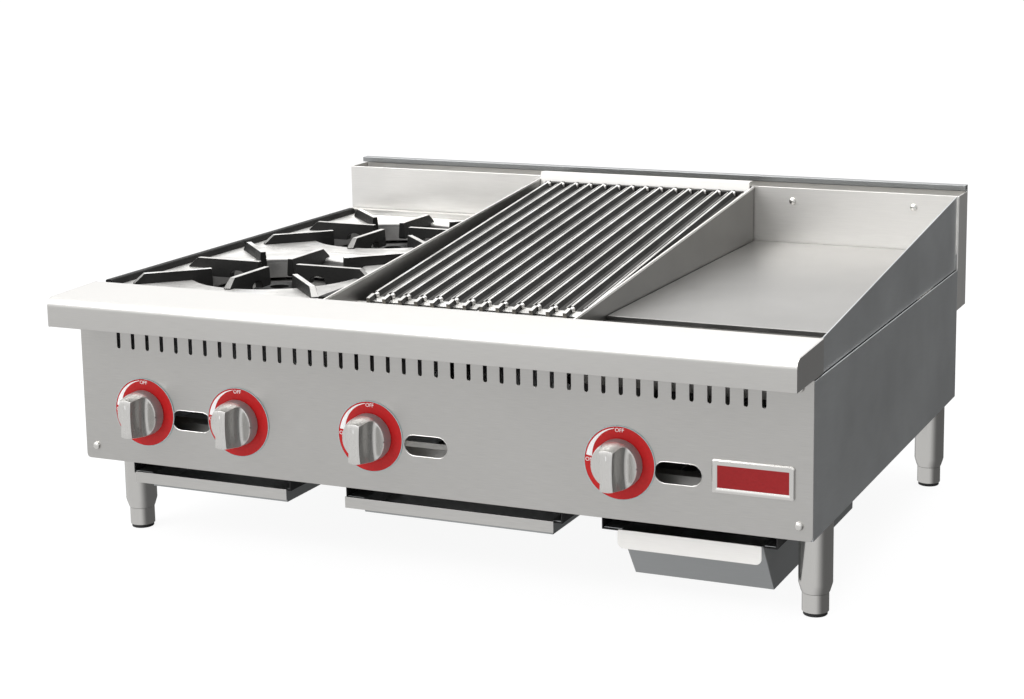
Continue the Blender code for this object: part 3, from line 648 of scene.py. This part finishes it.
def make_burner_grate(name):
    """Square casting: eight ribs over a plate with a round opening, a bowl below, two rims."""
    low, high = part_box(name)
    centre = ((low.x + high.x) / 2, (low.y + high.y) / 2, 0)
    half_x, half_y = (high.x - low.x) / 2, (high.y - low.y) / 2
    top = high.z
    plate_top, rim_top = top - 12.5 * MM, top - 4.5 * MM
    seat = plate_top - 5.5 * MM
    rib_foot, rib_end_low, rib_end_high = seat - 5 * MM, seat + 1.5 * MM, plate_top + 1.5 * MM
    reach_x, reach_y, reach_corner = 130 * MM, 118 * MM, 180 * MM
    opening, rim = 106 * MM, 9 * MM
    builder = bmesh.new()
    for i in range(4):
        quarter = i * math.pi / 2
        reach = reach_x if i % 2 == 0 else reach_y
        axial = [(27 * MM, top), (27 * MM, rib_foot + 2 * MM), (29 * MM, rib_foot)]
        axial += rounded_arch(47 * MM, 69 * MM, rib_foot, plate_top - 0.5 * MM)
        axial += [(94 * MM, rib_foot), (103 * MM, rib_end_low), (reach, rib_end_low),
                  (reach, rib_end_high), (reach - 13 * MM, top)]
        grate_rib(builder, centre, axial, top, quarter)
        diagonal = [(84 * MM, top), (84 * MM, rib_foot + 1 * MM), (85 * MM, rib_foot),
                    (96 * MM, rib_foot), (105 * MM, rib_end_low), (reach_corner, rib_end_low),
                    (reach_corner, rib_end_high), (reach_corner - 13 * MM, top)]
        grate_rib(builder, centre, diagonal, top, quarter + math.pi / 4)

    angles = [2 * math.pi * (i + 0.5) / 128 for i in range(128)]

    def circle(radius, z):
        return [(centre[0] + radius * math.cos(angle), centre[1] + radius * math.sin(angle), z)
                for angle in angles]

    def square(z):
        """Plate's outline, with a point at each angle that the circles have."""
        points = []
        for angle in angles:
            u, v = math.cos(angle), math.sin(angle)
            scale = min((half_x - 1 * MM) / abs(u), half_y / abs(v))
            points.append((centre[0] + scale * u, centre[1] + scale * v, z))
        return points

    bowl_bottom = seat - 19 * MM
    plate = [square(plate_top), circle(opening + 4 * MM, plate_top),
             circle(opening + 1 * MM, plate_top - 1 * MM), circle(opening, plate_top - 3 * MM)]
    bowl = [circle(opening, plate_top - 3 * MM), circle(opening - 8 * MM, bowl_bottom),
            circle(opening - 11 * MM, bowl_bottom), circle(opening - 3.5 * MM, seat)]
    base = [circle(opening - 3.5 * MM, seat), square(seat), square(plate_top)]
    for rings, material_index in ((plate, 2), (bowl, 4), (base, 0)):
        loft(builder, rings, material_index, caps=False)
    for side in (-1, 1):
        outer, inner = centre[0] + side * half_x, centre[0] + side * (half_x - rim)
        edge = side * 1.2 * MM
        outline = [(outer, seat + 2 * MM), (outer, rim_top - 1.2 * MM), (outer - edge, rim_top),
                   (inner + edge, rim_top), (inner, rim_top - 1.2 * MM),
                   (inner - edge, plate_top - 1 * MM), (inner - edge, seat + 2 * MM)]
        extrude_y(builder, outline, (low.y, high.y), 0)
    emit(f"{name}_casting", builder, [IRON, IRON_PAINTED_HIGHLIGHT, IRON_PLATE, IRON_BEVEL, BOWL], name,
         bevel=0.7 * MM, replaces=(name,))


# ---------------------------------------------------------------- char-broiler grates

GRATE_FRONT_Y = -208 * MM
GRATE_RISE, GRATE_RUN = 64.6 * MM, 511 * MM
BARS = 7
BAR_PITCH = 21.1 * MM
BAR_START = 8 * MM
LUG_FRONT = -13.5 * MM
LUG_HALF = 2.2 * MM
REST_GAP = 0.3 * MM

# Millimetres across a bar from its ridge line and up from the grate's top: up the left side,
# over the ridge, down into the groove, up to its far lip and back underneath.
BAR_SECTION = ((-2.0, -20.0), (-2.2, -6.0), (-1.5, -0.4), (-1.0, 0.0), (1.0, 0.0), (1.5, -0.4),
               (2.3, -2.4), (4.0, -6.0), (6.0, -9.2), (7.6, -10.2), (9.0, -9.6), (11.2, -6.8),
               (12.8, -3.9), (13.5, -2.6), (14.0, -2.2), (14.8, -2.2), (15.3, -2.7), (15.5, -5.0),
               (13.0, -10.5), (9.5, -16.0), (4.0, -19.0), (2.0, -20.0))
RIDGE_FACES, LIP_FACES, FLANK_FACES = range(2, 5), range(12, 16), range(5, 7)
REAR_LUG_SECTION = ((-3.0, -7.0), (-2.2, -1.0), (1.4, -1.0), (3.4, -7.0))

# The grates' materials, with their painted highlight, sheen and shade, and the index of each
GRATE_FINISHES_AND_PAINTED_LIGHT = [BAR_SIDE, IRON_PAINTED_HIGHLIGHT, BAR_LIP_PAINTED_SHEEN, BAR_FLANK_PAINTED_SHADE, LUG_FOOT]
PAINTED_HIGHLIGHT, PAINTED_SHEEN, SHADED, BROWN = 1, 2, 3, 4


def add_highlight_ball(builder, x, y):
    """Dome by a bar's end beside its ridge line, all in the painted highlight that stands for a
    glint there.
    """
    radius, height, sunk = 2.9 * MM, 2.8 * MM, 3 * MM
    dome = [(radius * math.cos(math.radians(t)), height * math.sin(math.radians(t)))
            for t in range(0, 90, 18)]
    lathe(builder, [(0, -sunk), (radius, -sunk)] + dome + [(0, height)],
          lambda u, v, h: (x + u, y + v, h - sunk), segments=16, material_index=PAINTED_HIGHLIGHT)


def add_bar(builder, ridge, length, level):
    """One bar with a lug and a ball at its front, and a lug and a ball at its rear."""
    faces = extrude_y(builder, [(ridge + u * MM, z * MM) for u, z in BAR_SECTION],
                      (BAR_START, length))
    # Painted highlight on the ridge, painted sheen on the groove's far lip and painted shade on the
    # flanks.
    for indices, material_index in ((RIDGE_FACES, PAINTED_HIGHLIGHT), (FLANK_FACES, SHADED),
                                    (LIP_FACES, PAINTED_SHEEN)):
        for index in indices:
            faces[index].material_index = material_index
    lug_rear = 1.5 * MM
    lug = [(LUG_FRONT, level(LUG_FRONT)), (LUG_FRONT, -1.6 * MM), (lug_rear, -0.4 * MM),
           (lug_rear, level(lug_rear))]
    faces = extrude_x(builder, lug, (ridge - LUG_HALF, ridge + LUG_HALF), SHADED)
    # Brown iron on the lug's front face, painted highlight on its top, painted shade on its sides.
    faces[0].material_index = BROWN
    faces[1].material_index = PAINTED_HIGHLIGHT
    extrude_y(builder, [(ridge + u * MM, z * MM) for u, z in REAR_LUG_SECTION],
              (length + 0.4 * MM, length + 7 * MM), SHADED)
    add_block(builder, (ridge - LUG_HALF, 0, -9 * MM), (ridge + LUG_HALF, BAR_START, -3 * MM),
              SHADED)
    # Painted highlight: a bright dome near each end of the bar.
    for y in (BAR_START - 1.8 * MM, length - 1.5 * MM):
        add_highlight_ball(builder, ridge + 1.8 * MM, y)


def make_char_grate(name, first):
    """Seven bars, each a ridge with a painted highlight along its top and a grease groove beside it,
    on cross ribs.

    `first` is the first bar's place from the broiler's middle, in pitches. The grate is built
    level, with the tops of its ridges at height 0, and then tilted into place.
    """
    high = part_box(name)[1]
    slope = math.atan2(GRATE_RISE, GRATE_RUN)
    length = math.hypot(GRATE_RISE, GRATE_RUN)
    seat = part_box("broiler_grate_rest")[1].z + REST_GAP
    front_top = high.z - GRATE_RISE
    foot = (seat - front_top) / math.cos(slope)

    def level(y):
        """Height of the seat, which is level once the grate is tilted."""
        return foot - y * math.tan(slope)

    builder = bmesh.new()
    ridges = [(first + bar) * BAR_PITCH for bar in range(BARS)]
    for ridge in ridges:
        add_bar(builder, ridge, length, level)
    left, right = ridges[0], ridges[-1]
    step_front = -7 * MM
    step = [(step_front, level(step_front)), (step_front, -7.4 * MM), (BAR_START, -6.2 * MM),
            (BAR_START, level(BAR_START))]
    faces = extrude_x(builder, step, (left - 5 * MM, right + 12 * MM), SHADED)
    # Painted highlight on the step's top face.
    faces[1].material_index = PAINTED_HIGHLIGHT
    add_block(builder, (left - 6 * MM, length + 0.4 * MM, -12 * MM),
              (right + 14 * MM, length + 6.5 * MM, -1.5 * MM), SHADED)
    for i in range(4):
        y = 1 * MM + (length - 12 * MM) * i / 3
        add_block(builder, (left, y, -19.5 * MM), (right, y + 10 * MM, -15 * MM))
    # Ties in the grooves, in the painted sheen.
    for y in (length / 3, length * 2 / 3):
        for ridge in ridges:
            u = ridge + 14.6 * MM
            wide = 4.2 * MM if ridge < right else 2.2 * MM
            add_block(builder, (u, y, -9 * MM), (u + wide, y + 9 * MM, -3.2 * MM), PAINTED_SHEEN)
    deflector_low, deflector_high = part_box("broiler_deflector")
    centre = (deflector_low.x + deflector_high.x) / 2
    place = Matrix.Translation((centre, GRATE_FRONT_Y, front_top)) @ Matrix.Rotation(slope, 4, "X")
    bmesh.ops.transform(builder, verts=builder.verts, matrix=place)
    emit(f"{name}_casting", builder, GRATE_FINISHES_AND_PAINTED_LIGHT, name, smooth=False, replaces=(name,))


# ---------------------------------------------------------------- grease box

def make_grease_box():
    """Tapered box with a leaning front, side flanges, and a lip with round corners in a painted
    highlight.
    """
    low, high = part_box("grease_box")
    left, right, front = low.x + 22 * MM, high.x - 13 * MM, low.y + 0.8 * MM
    draft, lean, wall, thick = 42 * MM, 0.5 * MM, 1.0 * MM, 1.2 * MM

    def ring(z, x_inset, front_inset, rear_inset):
        x = (left + x_inset, right - x_inset)
        y = (front + front_inset, high.y - rear_inset)
        return [(x[0], y[0], z), (x[1], y[0], z), (x[1], y[1], z), (x[0], y[1], z)]

    builder = bmesh.new()
    loft(builder, [ring(low.z, lean, draft, lean), ring(high.z, 0, 0, 0),
                   ring(high.z, wall, wall, wall),
                   ring(low.z + wall, lean + wall, draft + wall, lean + wall)])
    for x in ((low.x, left), (right, high.x)):
        add_block(builder, (x[0], front + 4.5 * MM, high.z - thick), (x[1], high.y, high.z))
    lip_left, lip_right, lip_bottom = low.x + 18 * MM, high.x - 14.5 * MM, high.z - 21.3 * MM
    outline = []
    for x, z, radius, start, steps in ((lip_right, lip_bottom, 7 * MM, 360, 8),
                                       (lip_left, lip_bottom, 7 * MM, 270, 8),
                                       (lip_left, high.z, 2 * MM, 180, 4),
                                       (lip_right, high.z, 2 * MM, 90, 4)):
        inward = (radius if x == lip_left else -radius, radius if z == lip_bottom else -radius)
        outline += arc((x + inward[0], z + inward[1]), radius, start, start - 90, steps)
    # The front lip, in the painted highlight.
    extrude_y(builder, outline, (low.y, low.y + 1.6 * MM), 1)
    emit("grease_box_sheet", builder, [BOX, BOX_LIP_PAINTED_HIGHLIGHT], "grease_box", smooth=False, bevel=0.5 * MM,
         replaces=("grease_box",))


# ---------------------------------------------------------------- legs

def make_leg(corner):
    """Bored tube with a tapered end, and its foot: plain stud, sleeve and black pad."""
    low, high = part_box(f"leg_{corner}")
    x, y = (low.x + high.x) / 2, (low.y + high.y) / 2
    radius, bore, stud, sleeve, pad = (high.x - low.x) / 2, 5.5 * MM, 5 * MM, 15 * MM, 13.5 * MM
    taper = low.z + 9 * MM
    builder = bmesh.new()
    lathe(builder, [(bore, high.z), (radius, high.z), (radius, taper + 2 * MM),
                    (radius - 0.5 * MM, taper), (radius - 3.0 * MM, low.z + 1.0 * MM),
                    (radius - 3.6 * MM, low.z), (bore, low.z)], upright(x, y), segments=96)
    emit(f"leg_{corner}_tube", builder, [LEG], "cabinet", replaces=(f"leg_{corner}",))
    foot_low, foot_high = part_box(f"foot_{corner}")
    pad_top, top = foot_low.z + 4 * MM, low.z - 0.5 * MM
    edge = 0.5 * MM
    builder = bmesh.new()
    lathe(builder, [(0, pad_top), (sleeve - 0.6 * MM, pad_top), (sleeve, pad_top + 0.6 * MM),
                    (sleeve, top), (stud, top), (stud, top + 0.2 * MM), (0, top + 0.2 * MM)],
          upright(x, y), segments=96)
    lathe(builder, [(0, foot_low.z), (pad - edge, foot_low.z), (pad, foot_low.z + edge),
                    (pad, pad_top - 0.1 * MM), (0, pad_top - 0.1 * MM)],
          upright(x, y), segments=64, material_index=1)
    lathe(builder, [(0, top), (stud, top), (stud, foot_high.z), (0, foot_high.z)], upright(x, y),
          segments=24)
    emit(f"foot_{corner}_sleeve", builder, [LEG, RUBBER], f"foot_{corner}",
         replaces=(f"foot_{corner}",))


# ---------------------------------------------------------------- light and camera

def make_world():
    """Studio seen in reflections: bright above and in front, dark low at the back right."""
    world = bpy.data.worlds.new("studio")
    bpy.context.scene.world = world
    world.use_nodes = True
    tree = world.node_tree
    tree.nodes.clear()
    add, link = tree.nodes.new, tree.links.new

    def smooth(source, low, high, at_low, at_high):
        made = add("ShaderNodeMapRange")
        made.interpolation_type = "SMOOTHSTEP"
        for key, value in (("From Min", low), ("From Max", high), ("To Min", at_low),
                           ("To Max", at_high)):
            made.inputs[key].default_value = value
        link(source, made.inputs["Value"])
        return made.outputs["Result"]

    def combine(operation, first, second):
        made = add("ShaderNodeMath")
        made.operation = operation
        for socket, value in zip(made.inputs, (first, second)):
            if isinstance(value, (int, float)):
                socket.default_value = value
            else:
                link(value, socket)
        return made.outputs[0]

    direction = add("ShaderNodeSeparateXYZ")
    link(add("ShaderNodeTexCoord").outputs["Generated"], direction.inputs[0])
    across = combine("ADD", combine("MULTIPLY", direction.outputs["X"], 0.75),
                     combine("MULTIPLY", direction.outputs["Y"], 0.65))
    lower = smooth(across, -0.5, 0.55, 0.80, 0.16)
    upper = smooth(direction.outputs["X"], 0.1, 0.9, 1.25, 0.55)
    height = smooth(direction.outputs["Z"], -0.08, 0.22, 0.0, 1.0)
    depth = combine("SUBTRACT", 1.0, height)
    level = combine("ADD", combine("MULTIPLY", lower, depth), combine("MULTIPLY", upper, height))
    studio, plain = add("ShaderNodeBackground"), add("ShaderNodeBackground")
    link(level, studio.inputs["Strength"])
    plain.inputs["Color"].default_value = (1, 1, 1, 1)
    plain.inputs["Strength"].default_value = 1.0
    seen, mix, output = (add(kind) for kind in (
        "ShaderNodeLightPath", "ShaderNodeMixShader", "ShaderNodeOutputWorld"))
    link(seen.outputs["Is Camera Ray"], mix.inputs[0])
    link(studio.outputs[0], mix.inputs[1])
    link(plain.outputs[0], mix.inputs[2])
    link(mix.outputs[0], output.inputs[0])


def area_light(name, location, target, size, power):
    """Rectangular light aimed at a point."""
    light = bpy.data.lights.new(name, "AREA")
    light.shape = "RECTANGLE"
    light.size, light.size_y = size
    light.energy = power
    lamp = bpy.data.objects.new(name, light)
    lamp.location = location
    aim = Vector(target) - Vector(location)
    lamp.rotation_euler = aim.to_track_quat("-Z", "Y").to_euler()
    bpy.context.scene.collection.objects.link(lamp)


def make_floor():
    """White ground that shows a faint shadow and is left out of reflections."""
    shown_glow, shown_share = 1.06, 0.86
    builder = bmesh.new()
    bmesh.ops.create_grid(builder, x_segments=1, y_segments=1, size=30)
    mesh = bpy.data.meshes.new("floor")
    builder.to_mesh(mesh)
    builder.free()
    floor = bpy.data.objects.new("floor", mesh)
    floor.location.z = -0.2 * MM
    paint = Shader("pale_floor", (0.92, 0.92, 0.92), 0.9)
    paint.surface.inputs["Specular IOR Level"].default_value = 0.0
    glow, seen, share, mix = (paint.tree.nodes.new(kind) for kind in (
        "ShaderNodeEmission", "ShaderNodeLightPath", "ShaderNodeMath", "ShaderNodeMixShader"))
    share.operation = "MULTIPLY"
    share.inputs[1].default_value = shown_share
    glow.inputs["Strength"].default_value = shown_glow
    paint.link(seen.outputs["Is Camera Ray"], share.inputs[0])
    paint.link(share.outputs[0], mix.inputs[0])
    paint.link(paint.surface.outputs[0], mix.inputs[1])
    paint.link(glow.outputs[0], mix.inputs[2])
    paint.link(mix.outputs[0], paint.tree.nodes["Material Output"].inputs["Surface"])
    mesh.materials.append(paint.material)
    bpy.context.scene.collection.objects.link(floor)
    floor.visible_glossy = False


def make_camera():
    """View camera: the position and angle of a picture taken from the front right."""
    data = bpy.data.cameras.new("camera")
    data.sensor_width = 36.0
    data.lens = 70.93
    data.shift_x = data.shift_y = -0.098
    camera = bpy.data.objects.new("camera", data)
    camera.location = (1.0338, -2.2703, 0.7793)
    camera.rotation_euler = [math.radians(angle) for angle in (79.899, 0.451, 22.283)]
    bpy.context.scene.collection.objects.link(camera)
    bpy.context.scene.camera = camera


# ---------------------------------------------------------------- the whole scene

make_camera()
for sheet, sheet_finish in (("front_panel", PANEL), ("left_side_panel", SIDE),
                            ("right_side_panel", SIDE), ("griddle_right_splash", SIDE),
                            ("flue_riser", RISER), ("flue_back_panel", LIP),
                            ("broiler_deflector", BRIGHT_SHEET_AND_PAINTED_HIGHLIGHT), ("broiler_left_wall", WALL),
                            ("broiler_right_wall", PARTITION_PAINTED_SHADE), ("broiler_grate_rest", BRIGHT_SHEET_AND_PAINTED_HIGHLIGHT)):
    refine(sheet, sheet_finish)
refine("griddle_plate", GRIDDLE, bevel=0.8 * MM, front_scorch_and_highlight=SCORCHED)
# The crumb trays' fronts get a painted highlight.
for tray in ("crumb_tray_left", "crumb_tray_middle"):
    refine(tray, BOX, body=tray, front_scorch_and_highlight=TRAY_FRONT_PAINTED_HIGHLIGHT)
make_grease_box()
make_wall_top_highlights()
make_slot_highlight_rims()
make_ledge()
for knob in range(1, 5):
    knob_x, knob_z = make_knob(knob)
    make_bezel(knob, knob_x, knob_z)
make_badge()
make_screws()
for row in ("front", "rear"):
    make_burner_grate(f"burner_grate_{row}")
make_char_grate("char_grate_left", -6.5)
make_char_grate("char_grate_right", 0.5)
for row in ("front", "rear"):
    for side in ("left", "right"):
        make_leg(f"{row}_{side}")
make_world()
make_floor()
area_light("key", location=(-1.6, -2.4, 2.6), target=(0, 0, 0.2), size=(2.5, 1.6), power=60)
area_light("top", location=(0.2, 0.4, 2.6), target=(0, 0, 0.3), size=(2.5, 2.0), power=35)
bpy.context.scene.view_settings.view_transform = "Standard"
